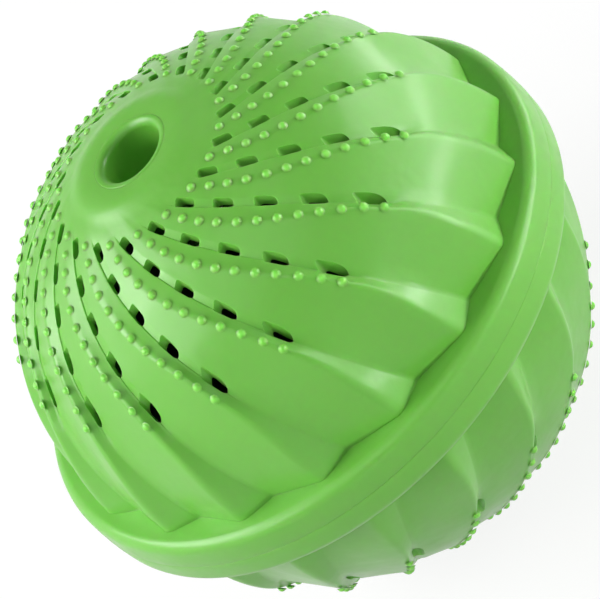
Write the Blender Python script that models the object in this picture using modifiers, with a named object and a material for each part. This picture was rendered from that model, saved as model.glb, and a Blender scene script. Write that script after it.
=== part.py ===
"""A laundry ball: two fluted shell halves round a centre tube, with loose ceramic beads between them.

Metres, +Z up along the centre tube. The joint between the halves lies in the plane z = 0.
"""

import math

import bmesh
import bpy
from mathutils import Matrix, Vector

# Sizes that were measured or chosen.
BAND_RADIUS = 0.0500
BAND_CROWN = 0.00015
BAND_HALF_HEIGHT = 0.0052
BAND_ROUNDING = 0.0020
BAND_WALL = 0.0044
LEDGE_WIDTH = 0.0028
POLE_HEIGHT = 0.0450
LAND_WIDTH = 0.00215
CREST_RISE_FROM = math.radians(18.0)
CREST_RISE_TO = math.radians(52.0)
FLUTE_COUNT = 18
FLUTE_DEPTH = 0.0033
FLUTE_DEPTH_POWER = 1.5
FLUTE_START = math.radians(14.0)
FLUTE_PHASE = math.radians(-5.0)
FLUTE_TURN = math.radians(39.18)
FLUTE_TURN_EASE = math.radians(-6.35)
CREST_OFFSET = 0.0024
CREST_OFFSET_GAIN = 0.0018
CREST_OFFSET_LOSS = 0.00195
CREST_OFFSET_TO_BAND = 0.0041
CREST_ROUNDING = 0.0010
SHELL_WALL = 0.0019
SLOT_ANGLES = [math.radians(angle) for angle in (22.4, 29.2, 36.5, 44.6, 54.35)]
SLOT_LENGTH = 0.0034
SLOT_WIDTH = 0.0016
SLOT_CUT_REACH = 0.0090
TUBE_BORE_RADIUS = 0.0055
TUBE_WALL = 0.00135
COLLAR_RADIUS = 0.0110
COLLAR_THICKNESS = 0.0014
SOCKET_WALL = 0.0021
LIP_WALL = 0.0014
HUB_WALL = 0.0014
HUB_HALF_LENGTH = 0.0263
FIN_THICKNESS = 0.0016
MAGNET_RADIUS = 0.0120
MAGNET_THICKNESS = 0.0040
BEAD_RADIUS = 0.0045
BEAD_RING_COUNT = 2

# Clearances.
GAP = 0.0003
BEAD_SEAT_GAP = 0.00045
BEAD_PLAY = 0.0004
FIN_GAP = 0.0007
NOTCH_GAP = 0.0006

# Fineness of the round shapes.
FLUTE_COLUMNS = 4
INNER_COLUMNS = 2
OUTER_ROW_COUNT = 12
INNER_ROW_COUNT = 8
TURNED_STEPS = 36
ARC_STEPS = 20
ROUNDING_STEPS = 3

# Sizes that follow from the ones above.
TUBE_RADIUS = TUBE_BORE_RADIUS + TUBE_WALL
SOCKET_RADIUS = TUBE_RADIUS + GAP
SOCKET_OUTER_RADIUS = SOCKET_RADIUS + SOCKET_WALL
LAND_RADIUS = SOCKET_RADIUS + LAND_WIDTH
HUB_RADIUS = SOCKET_RADIUS + HUB_WALL
CAP_SIZE = math.hypot(POLE_HEIGHT, SOCKET_RADIUS + LAND_WIDTH / 2)
CREST_SIZE = BAND_RADIUS - LEDGE_WIDTH
FLUTE_END = math.acos(BAND_HALF_HEIGHT / CREST_SIZE)
PITCH = 2 * math.pi / FLUTE_COUNT
UPPER_MAGNET_BASE = HUB_HALF_LENGTH + GAP
LOWER_MAGNET_BASE = -UPPER_MAGNET_BASE - MAGNET_THICKNESS
UPPER_SOCKET_END = UPPER_MAGNET_BASE + MAGNET_THICKNESS + GAP
COLLAR_TOP = LOWER_MAGNET_BASE - GAP
COLLAR_BASE = COLLAR_TOP - COLLAR_THICKNESS
LOWER_SOCKET_END = -COLLAR_BASE + GAP
SEAM_HEIGHT = GAP / 2
LIP_RADIUS = BAND_RADIUS - BAND_WALL
LIP_SEAT = BAND_HALF_HEIGHT - SHELL_WALL
LIP_TOP = LIP_SEAT - GAP

COLLECTION_NAME = "laundry_ball"


def clear_scene():
    for obj in list(bpy.data.objects):
        bpy.data.objects.remove(obj, do_unlink=True)


def new_collection(name):
    collection = bpy.data.collections.new(name)
    bpy.context.scene.collection.children.link(collection)
    return collection


def new_material(name, color, roughness, metallic=0.0):
    material = bpy.data.materials.new(name)
    material.use_nodes = True
    shader = material.node_tree.nodes["Principled BSDF"]
    shader.inputs["Base Color"].default_value = (*color, 1.0)
    shader.inputs["Roughness"].default_value = roughness
    shader.inputs["Metallic"].default_value = metallic
    material.diffuse_color = (*color, 1.0)
    return material


def new_object(name, mesh, collection, material=None):
    obj = bpy.data.objects.new(name, mesh)
    collection.objects.link(obj)
    if material is not None:
        mesh.materials.clear()
        mesh.materials.append(material)
    return obj


def hide_from_render(obj):
    obj.hide_render = True
    obj.display_type = "WIRE"


def smooth_step(value):
    value = min(max(value, 0.0), 1.0)
    return value * value * (3 - 2 * value)


def polar_point(size, theta, turn):
    """A point at a distance from the centre, an angle from the pole and an angle about it."""
    radius = size * math.sin(theta)
    return Vector((radius * math.cos(turn), radius * math.sin(turn), size * math.cos(theta)))


def crest_size(theta):
    rise = smooth_step((theta - CREST_RISE_FROM) / (CREST_RISE_TO - CREST_RISE_FROM))
    return CAP_SIZE + (CREST_SIZE - CAP_SIZE) * rise


def flute_depth(theta):
    share = max(0.0, (theta - FLUTE_START) / (FLUTE_END - FLUTE_START))
    return FLUTE_DEPTH * share**FLUTE_DEPTH_POWER


def valley_size(theta):
    return crest_size(theta) - flute_depth(theta)


def inner_size(theta):
    return valley_size(theta) - SHELL_WALL


def valley_turn(theta):
    """The valleys run out from the pole like a compass course that eases towards the band."""
    theta = max(theta, FLUTE_START)
    course = math.log(math.tan(theta / 2) / math.tan(SLOT_ANGLES[0] / 2))
    return FLUTE_PHASE + FLUTE_TURN * course + FLUTE_TURN_EASE * course * course


def smooth_step_between(theta, start, end):
    """A smooth rise from 0 to 1 between two angles from the pole, given in degrees."""
    return smooth_step((math.degrees(theta) - start) / (end - start))


def crest_turn(theta):
    """Each crest lies a short way back from its valley: furthest by the third slot, and again at the band."""
    theta = max(theta, FLUTE_START)
    offset = CREST_OFFSET
    offset += CREST_OFFSET_GAIN * smooth_step_between(theta, 16, 33)
    offset -= CREST_OFFSET_LOSS * smooth_step_between(theta, 34, 56)
    offset += CREST_OFFSET_TO_BAND * smooth_step_between(theta, 60, 90)
    return valley_turn(theta) - offset / (crest_size(theta) * math.sin(theta))


def between(start, end, share):
    return start + (end - start) * share


def flute_section(theta, flute):
    """One flute at this angle from the pole: its valley, broad face, and the two sides of its crest."""
    turn = flute * PITCH
    valley = polar_point(valley_size(theta), theta, turn + valley_turn(theta))
    crest = polar_point(crest_size(theta), theta, turn + PITCH + crest_turn(theta))
    next_valley = polar_point(valley_size(theta), theta, turn + PITCH + valley_turn(theta))
    rounding = min(CREST_ROUNDING, 0.3 * (next_valley - crest).length)
    before = between(crest, valley, rounding / (valley - crest).length)
    after = between(crest, next_valley, rounding / (next_valley - crest).length)
    return [valley, between(valley, before, 0.5), before, after]


def flute_row(theta):
    """One row of the fluted surface, eased into an even circle near the pole."""
    share = smooth_step((theta - 0.75 * FLUTE_START) / (SLOT_ANGLES[0] - 0.75 * FLUTE_START))
    row = []
    for flute in range(FLUTE_COUNT):
        for index, fluted in enumerate(flute_section(theta, flute)):
            turn = pole_turn() + (flute + index / FLUTE_COLUMNS) * PITCH
            point = between(polar_point(fluted.length, theta, turn), fluted, share)
            row.append(point * (fluted.length / point.length))
    return row


def ledge_point(flute, index):
    """Where one line of the fluted surface comes down on the flat ledge of the band."""
    point = flute_section(FLUTE_END, flute)[index]
    for _ in range(4):
        point = flute_section(math.acos(BAND_HALF_HEIGHT / point.length), flute)[index]
    return Vector((point.x, point.y, BAND_HALF_HEIGHT))


def ledge_row():
    return [ledge_point(flute, index) for flute in range(FLUTE_COUNT) for index in range(FLUTE_COLUMNS)]


def pole_turn():
    return valley_turn(FLUTE_START)


def band_turn():
    """The turn of the first column at the band: whole columns on from the pole, near the first valley."""
    column = PITCH / INNER_COLUMNS
    return pole_turn() + round((valley_turn(FLUTE_END) - pole_turn()) / column) * column


def circle_row(radius, height, start, columns):
    """A level circle with a number of columns for each flute."""
    turns = [start + index * PITCH / columns for index in range(FLUTE_COUNT * columns)]
    return [Vector((radius * math.cos(turn), radius * math.sin(turn), height)) for turn in turns]


def band_profile():
    """Radius and height along the rounded shoulder of the band, from the ledge to the joint face."""
    centre_radius = BAND_RADIUS - BAND_CROWN - BAND_ROUNDING
    centre_height = BAND_HALF_HEIGHT - BAND_ROUNDING
    profile = []
    for step in range(ROUNDING_STEPS + 1):
        angle = math.pi / 2 * (1 - step / ROUNDING_STEPS)
        radius = centre_radius + BAND_ROUNDING * math.cos(angle)
        profile.append((radius, centre_height + BAND_ROUNDING * math.sin(angle)))
    profile.append((BAND_RADIUS, SEAM_HEIGHT))
    return profile


def joint_profile(with_lip):
    """Radius and height of the joint face: one half has a standing lip, the other its recess."""
    if with_lip:
        return [
            (LIP_RADIUS, SEAM_HEIGHT),
            (LIP_RADIUS, -LIP_TOP),
            (LIP_RADIUS - LIP_WALL, -LIP_TOP),
            (LIP_RADIUS - LIP_WALL, LIP_SEAT),
        ]
    return [(LIP_RADIUS + GAP, SEAM_HEIGHT), (LIP_RADIUS + GAP, LIP_SEAT)]


def inner_profile(socket_end):
    """Radius and height of the smooth inner wall, from the ledge to the socket that holds the tube."""
    low = math.acos(LIP_SEAT / inner_size(FLUTE_END))
    high = math.asin(SOCKET_OUTER_RADIUS / inner_size(0.0))
    profile = []
    for step in range(INNER_ROW_COUNT + 1):
        theta = low + (high - low) * step / INNER_ROW_COUNT
        size = inner_size(theta)
        profile.append((size * math.sin(theta), size * math.cos(theta)))
    profile.append((SOCKET_OUTER_RADIUS, socket_end))
    profile.append((SOCKET_RADIUS, socket_end))
    return profile


def outer_angles():
    start = math.asin(LAND_RADIUS / CAP_SIZE)
    step = (FLUTE_END - start) / OUTER_ROW_COUNT
    return [start + step * index for index in range(1, OUTER_ROW_COUNT)]


def shell_rows(socket_end, with_lip):
    """The rows of points that a shell is made of, from the hole at the pole right round to the socket."""
    rows = [circle_row(SOCKET_RADIUS, POLE_HEIGHT, pole_turn(), INNER_COLUMNS)]
    rows.append(circle_row(LAND_RADIUS, POLE_HEIGHT, pole_turn(), FLUTE_COLUMNS))
    rows.extend(flute_row(theta) for theta in outer_angles())
    rows.append(ledge_row())
    for radius, height in band_profile() + joint_profile(with_lip):
        rows.append(circle_row(radius, height, band_turn(), FLUTE_COLUMNS))
    for radius, height in inner_profile(socket_end):
        rows.append(circle_row(radius, height, band_turn(), INNER_COLUMNS))
    return rows


def stretch(row, index, count):
    """The points of a row that belong to one face, out of a count of faces along it."""
    share = len(row) // count
    return [row[(index * share + step) % len(row)] for step in range(share + 1)]


def join_rows(work, row, other):
    """A strip of faces between two rows. One of them may have a multiple of the other's points."""
    count = min(len(row), len(other))
    for index in range(count):
        work.faces.new(stretch(row, index, count) + stretch(other, index, count)[::-1])


def shell_mesh(name, rows, side):
    """Joins the rows into one closed wall. The last row meets the first, a few columns on."""
    mesh = bpy.data.meshes.new(name)
    work = bmesh.new()
    verts = [[work.verts.new((p.x, p.y, side * p.z)) for p in row] for row in rows]
    shift = round((band_turn() - pole_turn()) * INNER_COLUMNS / PITCH)
    verts.append(verts[0][shift:] + verts[0][:shift])
    for row, other in zip(verts, verts[1:]):
        join_rows(work, row, other)
    bmesh.ops.triangulate(work, faces=work.faces)
    bmesh.ops.recalc_face_normals(work, faces=work.faces)
    for face in work.faces:
        face.smooth = True
    work.to_mesh(mesh)
    work.free()
    return mesh


def slot_block(work, index, flute, side):
    """One upright block on a valley line. All slots are cut along the direction of the tube."""
    theta = SLOT_ANGLES[index]
    turn = flute * PITCH
    step = math.radians(0.5)
    point = polar_point(valley_size(theta), theta, turn + valley_turn(theta))
    ahead = polar_point(valley_size(theta + step), theta + step, turn + valley_turn(theta + step))
    course = ahead - point
    plan = Vector((course.x, course.y, 0))
    along = plan.normalized() * (SLOT_LENGTH / 2)
    across = Vector((-plan.y, plan.x, 0)).normalized() * (SLOT_WIDTH / 2)
    corners = [point - along - across, point + along - across, point + along + across, point - along + across]
    ends = []
    for height in (point.z - SLOT_CUT_REACH, point.z + SLOT_CUT_REACH):
        ends.append([work.verts.new((corner.x, corner.y, side * height)) for corner in corners])
        work.faces.new(ends[-1])
    for near in range(4):
        far = (near + 1) % 4
        work.faces.new((ends[0][near], ends[0][far], ends[1][far], ends[1][near]))


def slot_cutter(name, side, collection):
    mesh = bpy.data.meshes.new(name)
    work = bmesh.new()
    for flute in range(FLUTE_COUNT):
        for index in range(len(SLOT_ANGLES)):
            slot_block(work, index, flute, side)
    bmesh.ops.recalc_face_normals(work, faces=work.faces)
    work.to_mesh(mesh)
    work.free()
    cutter = new_object(name, mesh, collection)
    hide_from_render(cutter)
    return cutter


def add_boolean(obj, other, operation):
    modifier = obj.modifiers.new(operation.lower(), "BOOLEAN")
    modifier.operation = operation
    modifier.solver = "EXACT"
    modifier.object = other


def make_shell(name, side, socket_end, with_lip, parts, cutters):
    material = new_material(name, (0.245, 0.56, 0.09), 0.38)
    mesh = shell_mesh(name, shell_rows(socket_end, with_lip), side)
    shell = new_object(name, mesh, parts, material)
    add_boolean(shell, slot_cutter(name + "_slots", side, cutters), "DIFFERENCE")
    return shell


def turned(name, profile, parts, material, steps=TURNED_STEPS):
    """Turns a closed profile about Z. Its points run down the outer side, then back up the inner one."""
    mesh = bpy.data.meshes.new(name)
    edges = [(index, (index + 1) % len(profile)) for index in range(len(profile))]
    mesh.from_pydata([(radius, 0.0, height) for radius, height in profile], edges, [])
    obj = new_object(name, mesh, parts, material)
    screw = obj.modifiers.new("turn", "SCREW")
    screw.axis = "Z"
    screw.angle = 2 * math.pi
    screw.steps = steps
    screw.render_steps = steps
    screw.use_merge_vertices = True
    screw.merge_threshold = 0.00001
    screw.use_smooth_shade = True
    return obj


def mouth_points(side):
    """The rounded mouth of the tube, from its outer edge down into the bore."""
    points = []
    for step in range(ROUNDING_STEPS + 1):
        angle = math.pi / 2 * (1 + step / ROUNDING_STEPS)
        radius = TUBE_RADIUS + TUBE_WALL * math.cos(angle)
        points.append((radius, side * (POLE_HEIGHT - TUBE_WALL + TUBE_WALL * math.sin(angle))))
    return points


def make_tube(parts):
    material = new_material("centre_tube", (0.2, 0.5, 0.07), 0.4)
    profile = list(reversed(mouth_points(1)))
    profile.append((TUBE_RADIUS, COLLAR_TOP))
    profile.append((COLLAR_RADIUS, COLLAR_TOP))
    profile.append((COLLAR_RADIUS, COLLAR_BASE))
    profile.append((TUBE_RADIUS, COLLAR_BASE))
    profile.extend(mouth_points(-1))
    return turned("centre_tube", profile, parts, material)


def fin_outline():
    """Outline of a plate with two fins. Its round edges face the shells, its notches clear the magnets."""
    edge = inner_size(FLUTE_END) - FIN_GAP
    notch = MAGNET_RADIUS + NOTCH_GAP
    reach = math.asin(notch / edge)
    outline = []
    for step in range(ARC_STEPS + 1):
        angle = reach + (math.pi - 2 * reach) * step / ARC_STEPS
        outline.append((edge * math.sin(angle), edge * math.cos(angle)))
    outline.append((notch, -HUB_HALF_LENGTH))
    outline.append((-notch, -HUB_HALF_LENGTH))
    for radius, height in reversed(outline[: ARC_STEPS + 1]):
        outline.append((-radius, height))
    outline.append((-notch, HUB_HALF_LENGTH))
    outline.append((notch, HUB_HALF_LENGTH))
    return outline


def cross_plate(name, turn, collection):
    """A flat plate through the middle, with a fin on each side."""
    mesh = bpy.data.meshes.new(name)
    work = bmesh.new()
    points = [Matrix.Rotation(turn, 3, "Z") @ Vector((x, -FIN_THICKNESS / 2, z)) for x, z in fin_outline()]
    face = work.faces.new([work.verts.new(point) for point in points])
    raised = bmesh.ops.extrude_face_region(work, geom=[face])
    offset = Matrix.Rotation(turn, 3, "Z") @ Vector((0, FIN_THICKNESS, 0))
    moved = [item for item in raised["geom"] if isinstance(item, bmesh.types.BMVert)]
    bmesh.ops.translate(work, verts=moved, vec=offset)
    bmesh.ops.recalc_face_normals(work, faces=work.faces)
    work.to_mesh(mesh)
    work.free()
    return new_object(name, mesh, collection)


def cylinder(name, radius, half_length, collection):
    bpy.ops.mesh.primitive_cylinder_add(vertices=TURNED_STEPS, radius=radius, depth=2 * half_length)
    obj = bpy.context.active_object
    obj.name = name
    for other in list(obj.users_collection):
        other.objects.unlink(obj)
    collection.objects.link(obj)
    return obj


def make_divider(parts, cutters):
    """Four fins on a hub, which keep the kinds of bead apart."""
    material = new_material("divider", (0.03, 0.05, 0.03), 0.5)
    divider = cross_plate("divider", 0.0, parts)
    divider.data.materials.append(material)
    second = cross_plate("divider_second_plate", math.pi / 2, cutters)
    hub = cylinder("divider_hub", HUB_RADIUS, HUB_HALF_LENGTH, cutters)
    bore = cylinder("divider_bore", SOCKET_RADIUS, 2 * HUB_HALF_LENGTH, cutters)
    for helper in (second, hub, bore):
        hide_from_render(helper)
    add_boolean(divider, second, "UNION")
    add_boolean(divider, hub, "UNION")
    add_boolean(divider, bore, "DIFFERENCE")
    return divider


def make_magnet(name, base, parts):
    material = new_material(name, (0.55, 0.55, 0.57), 0.3, 1.0)
    top = base + MAGNET_THICKNESS
    profile = [(SOCKET_RADIUS, top), (MAGNET_RADIUS, top), (MAGNET_RADIUS, base), (SOCKET_RADIUS, base)]
    return turned(name, profile, parts, material)


def bead_height(radius):
    """How far below the middle a bead lies when it rests on the inner wall this far from the axis."""
    theta = math.asin(radius / inner_size(0.0))
    for _ in range(12):
        reach = inner_size(theta) - BEAD_RADIUS - BEAD_SEAT_GAP
        theta = math.asin(radius / reach)
    return -reach * math.cos(theta)


def bead_turns(radius):
    """As many beads on a ring as fit between two fins, evenly spread about the compartment's middle."""
    margin = math.asin((BEAD_RADIUS + FIN_THICKNESS / 2 + BEAD_PLAY) / radius)
    spread = math.pi / 2 - 2 * margin
    pitch = 2 * math.asin((BEAD_RADIUS + BEAD_PLAY / 2) / radius)
    steps = int(spread / pitch)
    return [spread * (step / steps - 0.5) for step in range(steps + 1)] if steps else [0.0]


def bead_places():
    """Distance from the axis, turn and height of each bead in one compartment, the inner ring first."""
    places = []
    for ring in range(BEAD_RING_COUNT):
        radius = MAGNET_RADIUS + BEAD_RADIUS + BEAD_PLAY + ring * (2 * BEAD_RADIUS + BEAD_PLAY)
        places.extend((radius, turn, bead_height(radius)) for turn in bead_turns(radius))
    return places


def make_beads(kind, compartment, color, parts):
    material = new_material("bead_" + kind, color, 0.7)
    middle = math.pi / 4 + compartment * math.pi / 2
    bpy.ops.mesh.primitive_ico_sphere_add(subdivisions=2, radius=BEAD_RADIUS)
    pattern = bpy.context.active_object
    mesh = pattern.data
    mesh.name = "bead_" + kind
    mesh.materials.append(material)
    bpy.data.objects.remove(pattern, do_unlink=True)
    for index, (radius, turn, height) in enumerate(bead_places()):
        angle = middle + turn
        bead = bpy.data.objects.new(f"bead_{kind}_{index + 1}", mesh)
        bead.location = (radius * math.cos(angle), radius * math.sin(angle), height)
        parts.objects.link(bead)


def main():
    clear_scene()
    parts = new_collection(COLLECTION_NAME)
    cutters = new_collection("cutters")
    make_shell("lower_shell", -1, LOWER_SOCKET_END, True, parts, cutters)
    make_shell("upper_shell", 1, UPPER_SOCKET_END, False, parts, cutters)
    make_tube(parts)
    make_divider(parts, cutters)
    make_magnet("lower_magnet", LOWER_MAGNET_BASE, parts)
    make_magnet("upper_magnet", UPPER_MAGNET_BASE, parts)
    make_beads("clay", 0, (0.42, 0.14, 0.06), parts)
    make_beads("white", 1, (0.75, 0.73, 0.68), parts)
    make_beads("grey", 2, (0.22, 0.23, 0.24), parts)
    make_beads("brown", 3, (0.2, 0.12, 0.07), parts)


main()
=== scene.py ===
"""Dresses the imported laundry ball: fluted shells with slots and nubs, the tube, the insides and the stage.

Metres and radians. The ball's axis is Z, and its two halves meet in the plane z = 0.
"""

import math

import bpy
from mathutils import Matrix, Vector


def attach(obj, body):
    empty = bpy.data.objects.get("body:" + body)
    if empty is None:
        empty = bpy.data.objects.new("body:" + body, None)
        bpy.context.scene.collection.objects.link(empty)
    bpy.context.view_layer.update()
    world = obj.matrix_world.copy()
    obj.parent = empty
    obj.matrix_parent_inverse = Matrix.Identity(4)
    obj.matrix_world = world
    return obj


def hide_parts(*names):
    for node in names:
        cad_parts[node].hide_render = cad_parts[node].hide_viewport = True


bl_info = {
    "name": "Laundry ball",
    "version": (1, 0, 0),
    "blender": (4, 5, 0),
    "location": "View3D > Sidebar > Laundry Ball",
    "description": "Builds the shells, tube, beads and stage of a laundry ball",
    "category": "Object",
}

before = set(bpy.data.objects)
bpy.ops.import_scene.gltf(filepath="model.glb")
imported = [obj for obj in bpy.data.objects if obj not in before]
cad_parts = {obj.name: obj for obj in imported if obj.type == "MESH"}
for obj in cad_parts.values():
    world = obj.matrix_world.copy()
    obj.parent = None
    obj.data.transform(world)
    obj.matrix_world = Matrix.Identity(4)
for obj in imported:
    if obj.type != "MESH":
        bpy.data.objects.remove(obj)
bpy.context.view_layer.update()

MM = 0.001

# What each point of a shell's plain wall knows about its place, and what the spot of a slot or nub knows.
WALL_MARKS = ("polar_angle", "flute_share", "flute_turn", "on_dome", "foot_out", "foot_up", "untwist")
SPOT_MARKS = ("polar_angle", "flute_turn")

FLUTE_COUNT = 18
PITCH = 2 * math.pi / FLUTE_COUNT

# Each flute has a row of slots and a row of nubs, at these degrees from the pole.
SLOT_ANGLES = (22.3, 29.1, 36.4, 44.6, 54.5)
NUB_ANGLES = (21.3, 24.6, 27.8, 31.0, 34.3, 37.5, 40.6, 43.8, 47.0, 50.5, 54.2, 57.8)

# Columns of faces in one flute, from its valley round to the next one.
COLUMNS = {"floor": 1, "step": 2, "face": 10, "crest": 8, "flank": 5, "lip": 3, "floor_end": 1}
COLUMN_COUNT = sum(COLUMNS.values())

# Rows of faces of a shell, and steps of its small roundings.
DOME_ROWS = 84
INNER_ROWS = 24
FOOT_STEPS = 4
SHOULDER_STEPS = 7
EDGE_STEPS = 3
RIM_STEPS = 5
FUNNEL_STEPS = 12
TURNED_STEPS = 128

# Edges that turn by more than this stay sharp to the eye.
SHARP_ANGLE = math.radians(38)

# How far the tube's rim stands above the shell round it.
RIM_RISE = 0.06 * MM

# How much wider than the bore these are, in radius: the tube, its rim at each end, and the shells' sockets.
TUBE_WALL = 1.35 * MM
RIM_WALL = 1.645 * MM
SOCKET_ROOM = 1.65 * MM

# Where the collar that carries the lower magnet lies, below the joint between the halves.
COLLAR_TOP = 30.9 * MM
COLLAR_FOOT = 32.3 * MM
COLLAR_RADIUS = 11.0 * MM

# How far from the joint between the halves each socket starts.
UPPER_SOCKET_START = 30.9 * MM
LOWER_SOCKET_START = 32.6 * MM

# The photo's camera, worked out from the outline and the spacing of the flutes. It looks down on the ball
# from 35.6 degrees and is turned on its side by 49. The turn is in degrees and the lens in millimetres.
CAMERA_PLACE = (-0.41929, -0.62530, 0.53884)
CAMERA_TURN = (42.5195, 37.9259, -67.6752)
CAMERA_LENS = 340.87


def linear(code):
    """An sRGB colour in hex as the linear colour that Blender works in."""
    shares = [int(code[at : at + 2], 16) / 255 for at in (1, 3, 5)]
    return tuple(s / 12.92 if s <= 0.04045 else ((s + 0.055) / 1.055) ** 2.4 for s in shares)


def length_property(name, description, default):
    """A size that a user may change."""
    return bpy.props.FloatProperty(name=name, description=description, default=default, unit="LENGTH")


def colour_property(name, description, code):
    """A colour that a user may change."""
    return bpy.props.FloatVectorProperty(
        name=name,
        description=description,
        default=linear(code),
        subtype="COLOR",
        min=0.0,
        max=1.0,
    )


class LaundryBallShape(bpy.types.PropertyGroup):
    """Sizes of the shells and the tube."""

    band_radius: length_property("Band radius", "Radius of the band where the halves meet", 50.0 * MM)
    band_half_height: length_property("Band half height", "Height of the ledge above the joint", 5.2 * MM)
    band_rounding: length_property("Band rounding", "Radius of the band's shoulder", 2.0 * MM)
    pole_height: length_property("Pole height", "Height of the level ring round the hole", 45.0 * MM)
    cap_size: length_property("Cap size", "From the ball's middle to the dome near its pole", 45.7455 * MM)
    crest_size: length_property("Crest size", "From the ball's middle to the ridges near the band", 47.2 * MM)
    flute_depth: length_property("Flute depth", "Depth of the valleys where they meet the ledge", 3.3 * MM)
    flute_turn: bpy.props.FloatProperty(
        name="Flute turn",
        description="How steeply the flutes wind about the pole",
        default=math.radians(39.18),
        unit="ROTATION",
        subtype="ANGLE",
    )
    slot_length: length_property("Slot length", "Length of the slots, seen along the tube", 3.2 * MM)
    slot_width: length_property("Slot width", "Width of the slots", 1.6 * MM)
    wall: length_property("Wall", "Thickness of the wall under the valleys", 1.6 * MM)
    channel_width: length_property("Channel width", "Width of the channel that joins the slots", 1.2 * MM)
    channel_depth: length_property("Channel depth", "Depth of that channel at its step", 0.2 * MM)
    nub_radius: length_property("Nub radius", "Radius of the small domes beside the slots", 0.66 * MM)
    nub_height: length_property("Nub height", "How far the small domes stand up", 0.54 * MM)
    bore_radius: length_property("Bore radius", "Radius of the hole through the tube", 5.5 * MM)


class LaundryBallColours(bpy.types.PropertyGroup):
    """Colours of the pieces and the stage."""

    shell: colour_property("Shell", "Leaf green of the shells", "#74be49")
    tube: colour_property("Tube", "Leaf green of the tube", "#6eb943")
    divider: colour_property("Divider", "Dark green of the divider", "#303f30")
    plating: colour_property("Magnet plating", "Nickel colour of the magnets", "#c4c0b8")
    clay: colour_property("Clay beads", "Red clay", "#ad6a46")
    white: colour_property("White beads", "Off-white ceramic", "#e1dfd6")
    grey: colour_property("Grey beads", "Grey ceramic", "#828486")
    brown: colour_property("Brown beads", "Brown ceramic", "#7c624d")
    floor: colour_property("Floor", "White of the studio floor", "#ffffff")
    bounce: colour_property("Floor bounce", "Grey of the light that the floor throws back", "#7c7c7c")


def add_node(tree, kind, inputs=None, **settings):
    """Adds one node. Its inputs are given by name or number, each a value or another node's socket."""
    node = tree.nodes.new(kind)
    for name, value in settings.items():
        setattr(node, name, value)
    for key, value in (inputs or {}).items():
        if isinstance(value, bpy.types.NodeSocket):
            tree.links.new(value, node.inputs[key])
        else:
            node.inputs[key].default_value = value
    return node


class Term:
    """A number or a point in a geometry tree. Sums written with terms become the nodes that work them out."""

    def __init__(self, tree, socket):
        self.tree = tree
        self.socket = socket

    def join(self, operation, *others):
        """A new term from this one and others, worked out by one node."""
        values = [getattr(term, "socket", term) for term in (self, *others)]
        kind = "ShaderNodeVectorMath" if self.socket.type == "VECTOR" else "ShaderNodeMath"
        keys = (0, "Scale") if operation == "SCALE" else range(len(values))
        node = add_node(self.tree, kind, dict(zip(keys, values)), operation=operation)
        return Term(self.tree, node.outputs["Value" if operation == "LENGTH" else 0])

    def __add__(self, other):
        return self.join("ADD", other)

    def __sub__(self, other):
        return self.join("SUBTRACT", other)

    def __rsub__(self, other):
        return self * -1.0 + other

    def __mul__(self, other):
        return self.join("SCALE" if self.socket.type == "VECTOR" else "MULTIPLY", other)

    def __truediv__(self, other):
        return self.join("DIVIDE", other)

    def ramp(self, start, end, interpolation="LINEAR"):
        """0 before start, 1 after end, and in between a straight or smooth rise."""
        inputs = {"Value": self.socket}
        inputs["From Min"] = getattr(start, "socket", start)
        inputs["From Max"] = getattr(end, "socket", end)
        node = add_node(self.tree, "ShaderNodeMapRange", inputs, interpolation_type=interpolation)
        return Term(self.tree, node.outputs["Result"])

    def parts(self):
        """The X, Y and Z of a point."""
        node = add_node(self.tree, "ShaderNodeSeparateXYZ", {"Vector": self.socket})
        return [Term(self.tree, socket) for socket in node.outputs]


def blend(start, end, share):
    """What lies at a share of the way from start to end."""
    return start + (end - start) * share


def size_inputs():
    """Named inputs that every tree of the flutes has, with their values. Angles are from the pole."""
    shape = bpy.context.scene.laundry_ball_shape
    return {
        "Cap Size": shape.cap_size,
        "Crest Size": shape.crest_size,
        "Crest Rise From": math.radians(18.0),
        "Crest Rise To": math.radians(52.0),
        "Flute Depth": shape.flute_depth,
        "Flute Depth Power": 1.5,
        "Flute Start": math.radians(14.0),
        "Flute End": math.acos(shape.band_half_height / shape.crest_size),
        "Flute Phase": math.radians(-5.0),
        "Flute Turn": shape.flute_turn,
        "Flute Turn Ease": math.radians(-6.35),
        "First Slot": math.radians(22.4),
        "Crest Offset": 2.4 * MM,
        "Crest Offset Gain": 1.8 * MM,
        "Gain From": math.radians(16.0),
        "Gain To": math.radians(33.0),
        "Crest Offset Loss": 1.95 * MM,
        "Loss From": math.radians(34.0),
        "Loss To": math.radians(56.0),
        "Crest Offset To Band": 4.1 * MM,
        "To Band From": math.radians(60.0),
        "To Band To": math.radians(90.0),
        "Channel Width": shape.channel_width,
        "Least Cosine": 0.55,
    }


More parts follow.
